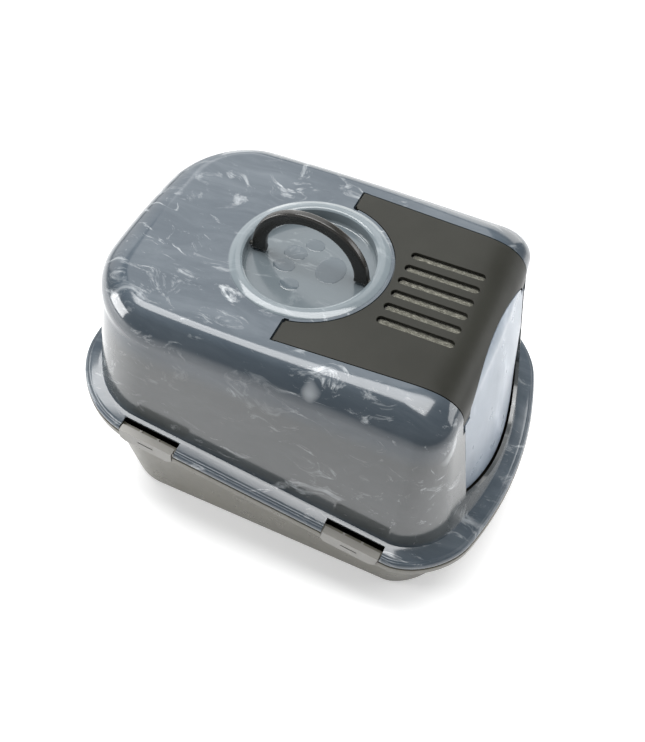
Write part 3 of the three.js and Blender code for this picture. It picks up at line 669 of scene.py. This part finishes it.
class Nodes:
    """A short way to write a material's node tree."""

    def __init__(self, name, roughness, specular=0.5):
        self.material = bpy.data.materials.new(name)
        self.material.use_nodes = True
        self.tree = self.material.node_tree
        self.tree.nodes.clear()
        finish = {"Roughness": roughness, "Specular IOR Level": specular}
        self.shader = self.add("ShaderNodeBsdfPrincipled", finish)
        output = self.add("ShaderNodeOutputMaterial")
        self.join(self.shader.outputs[0], output.inputs[0])
        self.place = self.add("ShaderNodeTexCoord").outputs["Object"]

    def add(self, kind, values=None, **settings):
        node = self.tree.nodes.new(kind)
        for key, value in settings.items():
            setattr(node, key, value)
        for key, value in (values or {}).items():
            node.inputs[key].default_value = value
        return node

    def join(self, output, socket):
        self.tree.links.new(output, socket)

    def axes(self):
        """The object coordinates x, y and z, each on its own."""
        split = self.add("ShaderNodeSeparateXYZ")
        self.join(self.place, split.inputs[0])
        return split.outputs

    def noise(
        self, scale, detail=4.0, rough=0.55, distortion=0.0, at=None, stretch=(1, 1, 1), kind="FBM"
    ):
        mapping = self.add("ShaderNodeMapping", {"Scale": stretch})
        self.join(at or self.place, mapping.inputs["Vector"])
        values = {"Scale": scale, "Detail": detail, "Roughness": rough, "Distortion": distortion}
        node = self.add("ShaderNodeTexNoise", values, noise_type=kind)
        self.join(mapping.outputs[0], node.inputs["Vector"])
        return node

    def ramp(self, value, stops):
        node = self.add("ShaderNodeValToRGB")
        while len(node.color_ramp.elements) < len(stops):
            node.color_ramp.elements.new(0.5)
        for element, (at, colour) in zip(node.color_ramp.elements, stops):
            element.position = at
            element.color = colour if isinstance(colour, tuple) else (colour, colour, colour, 1)
        self.join(value, node.inputs[0])
        return node.outputs[0]

    def times(self, a, b):
        return self.math(a, b, "MULTIPLY")

    def math(self, a, b, operation):
        node = self.add("ShaderNodeMath", operation=operation)
        for socket, value in zip(node.inputs, (a, b)):
            if isinstance(value, (int, float)):
                socket.default_value = value
            else:
                self.join(value, socket)
        return node.outputs[0]

    def blend(self, factor, a, b):
        node = self.add("ShaderNodeMix", data_type="RGBA")
        sockets = (node.inputs["Factor"], node.inputs[6], node.inputs[7])
        for socket, value in zip(sockets, (factor, a, b)):
            if isinstance(value, (int, float, tuple)):
                socket.default_value = value
            else:
                self.join(value, socket)
        return node.outputs[2]

    def warped(self, scale, amount):
        """The object coordinates, pushed about by a slow noise."""
        drift = self.noise(scale, 2.0)
        centre = self.add("ShaderNodeVectorMath", operation="SUBTRACT")
        centre.inputs[1].default_value = (0.5, 0.5, 0.5)
        self.join(drift.outputs["Color"], centre.inputs[0])
        size = self.add("ShaderNodeVectorMath", operation="SCALE")
        size.inputs["Scale"].default_value = amount
        self.join(centre.outputs[0], size.inputs[0])
        total = self.add("ShaderNodeVectorMath", operation="ADD")
        self.join(self.place, total.inputs[0])
        self.join(size.outputs[0], total.inputs[1])
        return total.outputs[0]

    def bump(self, height, strength, distance):
        node = self.add("ShaderNodeBump", {"Strength": strength, "Distance": distance})
        self.join(height, node.inputs["Height"])
        self.join(node.outputs[0], self.shader.inputs["Normal"])

    def colour(self, socket):
        self.join(socket, self.shader.inputs["Base Color"])

    def roughness(self, value, low, high):
        node = self.add("ShaderNodeMapRange", {"To Min": low, "To Max": high})
        self.join(value, node.inputs[0])
        self.join(node.outputs[0], self.shader.inputs["Roughness"])


def marble():
    """Blue-grey moulded plastic with white resin smeared through it, plus painted light: a warmer tone
    on the side walls for the floor's bounce, and painted shade on the rounded edge round the top.
    """
    m = Nodes("marbled_plastic", 0.12, 0.6)
    flow = m.warped(5.0, 0.09)
    grain = m.noise(30.0, 9.0, 0.66, 0.5, flow, (1.0, 0.22, 0.6))
    base = m.ramp(
        grain.outputs["Fac"],
        [(0.28, linear(62, 72, 81)), (0.5, linear(74, 83, 91)), (0.76, linear(93, 101, 108))],
    )
    swirl = m.warped(9.0, 0.08)
    veins = m.noise(11.0, 6.0, 0.62, 0.8, swirl, (1.0, 0.4, 0.7), "RIDGED_MULTIFRACTAL")
    lines = m.ramp(veins.outputs["Fac"], [(0.56, 0.0), (0.70, 1.0)])
    smears = m.noise(34.0, 8.0, 0.7, 1.4, swirl, (1.0, 0.35, 0.8))
    flecks = m.ramp(smears.outputs["Fac"], [(0.56, 0.0), (0.70, 1.0)])
    patches = m.noise(8.0, 3.0, 0.55, 0.0, flow)
    where = m.ramp(patches.outputs["Fac"], [(0.42, 0.22), (0.62, 1.0)])
    wisp = m.times(m.math(lines, flecks, "MAXIMUM"), where)
    x, y, z = m.axes()
    seam = seam_height(0)
    above_seam = m.math(z, m.times(y, SLOPE), "SUBTRACT")
    # Painted light: the side walls between the skirt and the fillet get a warmer tone that stands in for
    # the light they pick up from the floor.
    bounce_above_skirt = m.ramp(above_seam, [((seam + 11) * MM, 0.0), ((seam + 22) * MM, 0.55)])
    bounce_below_shoulder = m.ramp(z, [((SHOULDER_Z - 30) * MM, 1.0), ((SHOULDER_Z + 2) * MM, 0.0)])
    base = m.blend(m.times(bounce_above_skirt, bounce_below_shoulder), base, linear(74, 72, 65))
    # Painted shade: the rounded fillet between the side walls and the flat top is darkened, standing in
    # for the fillet turning away from the overhead light and reflecting the darker surroundings.
    foot, crown = SHOULDER_Z - 16, TOP - 1
    shoulder_shade = m.ramp(
        z, [(foot * MM, 0.0), ((foot + 20) * MM, 0.5), ((crown - 4) * MM, 0.5), (crown * MM, 0.0)]
    )
    base = m.blend(shoulder_shade, base, linear(38, 45, 51))
    colour = m.blend(m.times(wisp, 0.8), base, linear(206, 210, 212))
    m.colour(recess_tint(m, colour, x, y, z))
    smudge = m.noise(14.0, 3.0)
    m.roughness(smudge.outputs["Fac"], 0.07, 0.17)
    ripple = m.noise(24.0, 3.0)
    m.bump(ripple.outputs["Fac"], 0.05, 0.0005)
    return m.material


def recess_tint(m, colour, x, y, z):
    """Paler where the handle recess is moulded thinner, and darker on its raised pads."""
    off_centre = m.math(y, -RING_Y * MM, "ADD")
    away = m.math(m.times(x, x), m.times(off_centre, off_centre), "ADD")
    fifths = m.times(m.math(away, 0.5, "POWER"), 5.0)
    paler = m.ramp(fifths, [(0.385, 0.42), (0.4, 0.6), (0.475, 0.6), (0.487, 0.0)])
    paler = m.times(paler, m.math(z, (TOP - 2 * RECESS_DEPTH) * MM, "GREATER_THAN"))
    tinted = m.blend(paler, colour, linear(128, 137, 140))
    floor = TOP - RECESS_DEPTH
    raised = m.math(z, (floor + 0.2) * MM, "GREATER_THAN")
    low = m.math(z, (floor + 1.5) * MM, "LESS_THAN")
    on_pads = m.times(m.times(raised, m.math(fifths, 0.365, "LESS_THAN")), low)
    return m.blend(m.times(on_pads, 0.5), tinted, linear(70, 80, 88))


def satin(name, dark, light, rough, grain=0.12, specular=0.5):
    """Moulded plastic with a fine spark-eroded grain."""
    m = Nodes(name, rough, specular)
    slow = m.noise(9.0, 5.0, 0.55)
    m.colour(m.ramp(slow.outputs["Fac"], [(0.35, dark), (0.65, light)]))
    marks = m.noise(34.0, 6.0, 0.6, 0.4)
    m.roughness(marks.outputs["Fac"], rough - 0.07, rough + 0.09)
    pits = m.noise(1400.0, 2.0, 0.5)
    m.bump(pits.outputs["Fac"], grain, 0.00025)
    return m.material


def frosted():
    """The door's pale frosted plastic, with faint flow marks."""
    m = Nodes("frosted_door", 0.3, 0.5)
    flow = m.noise(12.0, 6.0, 0.6, 0.8, m.warped(8.0, 0.06), (1.0, 1.0, 0.4))
    tones = [(0.32, linear(112, 123, 135)), (0.55, linear(130, 141, 153)), (0.75, linear(176, 184, 194))]
    m.colour(m.ramp(flow.outputs["Fac"], tones))
    marks = m.noise(30.0, 4.0)
    m.roughness(marks.outputs["Fac"], 0.22, 0.38)
    grain = m.noise(900.0, 2.0)
    m.bump(grain.outputs["Fac"], 0.08, 0.0002)
    m.shader.inputs["Subsurface Weight"].default_value = 0.15
    m.shader.inputs["Subsurface Radius"].default_value = (0.01, 0.011, 0.012)
    return m.material


def felt():
    """Carbon-loaded filter felt: matted fibres, from charcoal to pale grey."""
    m = Nodes("filter_felt", 0.92, 0.2)
    fibres = m.noise(420.0, 8.0, 0.75, 1.5, None, (1.0, 0.45, 1.0))
    tones = [(0.3, linear(50, 50, 44)), (0.5, linear(96, 95, 86)), (0.72, linear(176, 174, 162))]
    m.colour(m.ramp(fibres.outputs["Fac"], tones))
    m.bump(fibres.outputs["Fac"], 0.8, 0.0012)
    m.shader.inputs["Sheen Weight"].default_value = 0.3
    m.shader.inputs["Sheen Roughness"].default_value = 0.5
    return m.material


materials = {
    "hood": marble(),
    "cover": satin("cover_satin", linear(36, 36, 31), linear(43, 43, 38), 0.42, 0.10, 0.2),
    "door": frosted(),
    "pan": satin("pan_satin", linear(76, 73, 62), linear(86, 83, 71), 0.28, 0.02),
    "handle": satin("handle_satin", linear(27, 26, 23), linear(36, 34, 30), 0.27, 0.05, 0.6),
    "latch": satin("latch_satin", linear(106, 104, 98), linear(116, 114, 108), 0.30, 0.04, 0.7),
    "filter": felt(),
    "pin": satin("pin_satin", linear(70, 70, 66), linear(84, 84, 80), 0.45),
}


# ---- Pieces ------------------------------------------------------------------------------
def finished(obj, name, body, slot, nodes, angle=30):
    """Names a piece, shades it, gives it its material and puts it on its body."""
    obj.name = name
    obj.data.name = name
    obj.data.materials.clear()
    obj.data.materials.append(materials[slot])
    obj.data.polygons.foreach_set("use_smooth", [True] * len(obj.data.polygons))
    obj.data.set_sharp_from_angle(angle=math.radians(angle))
    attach(obj, body)
    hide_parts(*nodes)
    return obj


finished(make_hood(), "hood_shell", "hood", "hood", ["hood"])
finished(make_cover(), "cover_panel", "cover", "cover", ["front_cover"])
finished(make_door(), "door_flap", "door", "door", ["swing_door"], 14)
finished(make_pan(), "pan_tray", "pan", "pan", ["litter_pan"])
finished(make_handle(), "handle_bow", "handle", "handle", ["carry_handle"])
felt_pad = finished(make_filter_pad(), "filter_felt", "cover", "filter", ["filter_pad"], 60)

EDGE_WIDTHS = {"pin": 0.0002, "latch": 0.0009, "cover": 0.0005}

for name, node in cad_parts.items():
    if node.hide_render:
        continue
    slot = "pin" if "pin" in name else "latch" if name.startswith("latch") else "cover"
    node.data.materials.clear()
    node.data.materials.append(materials[slot])
    edge = node.modifiers.new("edge", "BEVEL")
    edge.width = EDGE_WIDTHS[slot]
    edge.segments = 3
    edge.limit_method = "ANGLE"
    edge.angle_limit = math.radians(40)
    edge.harden_normals = True

# ---- Stage, light and camera -------------------------------------------------------------
REACH, DROP = 9000, 0.6
corners = [(x * REACH, y * REACH, -DROP) for x, y in ((-1, -1), (1, -1), (1, 1), (-1, 1))]
floor = mesh_object("floor", corners, [[0, 1, 2, 3]])
ground = Nodes("studio_floor", 0.9, 0.1)
whites = [(0.2, linear(244, 244, 244)), (0.8, linear(247, 247, 247))]
ground.colour(ground.ramp(ground.noise(2.0, 2.0).outputs["Fac"], whites))
ground.shader.inputs["Emission Color"].default_value = (1, 1, 1, 1)
ground.shader.inputs["Emission Strength"].default_value = 0.32
floor.data.materials.append(ground.material)


def area_light(name, place, target, size, power, colour=(1, 1, 1)):
    light = bpy.data.lights.new(name, "AREA")
    light.shape = "RECTANGLE"
    light.size, light.size_y = size
    light.energy = power
    light.color = colour
    obj = bpy.data.objects.new(name, light)
    obj.location = place
    obj.rotation_euler = (Vector(target) - Vector(place)).to_track_quat("-Z", "Y").to_euler()
    bpy.context.scene.collection.objects.link(obj)


area_light("overhead_strip", (0.12, 0.3, 2.3), (0.1, 0.1, 0.0), (0.9, 2.6), 62)
area_light("far_softbox", (1.45, 0.6, 2.0), (0, 0, 0.3), (1.9, 1.9), 17)
area_light("backdrop_light", (2.6, 0.4, 0.6), (0, 0, 0.3), (3.0, 1.2), 25, (1.0, 0.98, 0.95))
area_light("rear_backdrop", (1.6, 2.3, 1.2), (0, 0, 0.3), (2.8, 1.8), 19)
area_light("rear_softbox", (-0.85, 2.1, 0.65), (-0.1, 0.2, 0.3), (0.9, 1.0), 30)
area_light("front_softbox", (1.0, -2.0, 0.9), (0, -0.2, 0.3), (1.5, 1.0), 20)

world = bpy.data.worlds.new("studio")
world.use_nodes = True
world.node_tree.nodes["Background"].inputs["Color"].default_value = (0.95, 0.97, 1.0, 1)
world.node_tree.nodes["Background"].inputs["Strength"].default_value = 0.28
bpy.context.scene.world = world

azimuth, elevation = math.radians(-65.2), math.radians(53.9)
distance = 0.848
level_out = math.cos(elevation)
back = Vector((math.sin(azimuth) * level_out, -math.cos(azimuth) * level_out, math.sin(elevation)))
camera_data = bpy.data.cameras.new("camera")
camera_data.sensor_fit = "HORIZONTAL"
camera_data.sensor_width = 36
camera_data.lens = 36 * 800 / 645
camera = bpy.data.objects.new("camera", camera_data)
camera.location = Vector((-0.1455, -0.0665, 0.370)) + back * distance
camera.rotation_mode = "QUATERNION"
camera.rotation_quaternion = (-back).to_track_quat("-Z", "Y")
bpy.context.scene.collection.objects.link(camera)
bpy.context.scene.camera = camera
bpy.context.scene.view_settings.view_transform = "Standard"
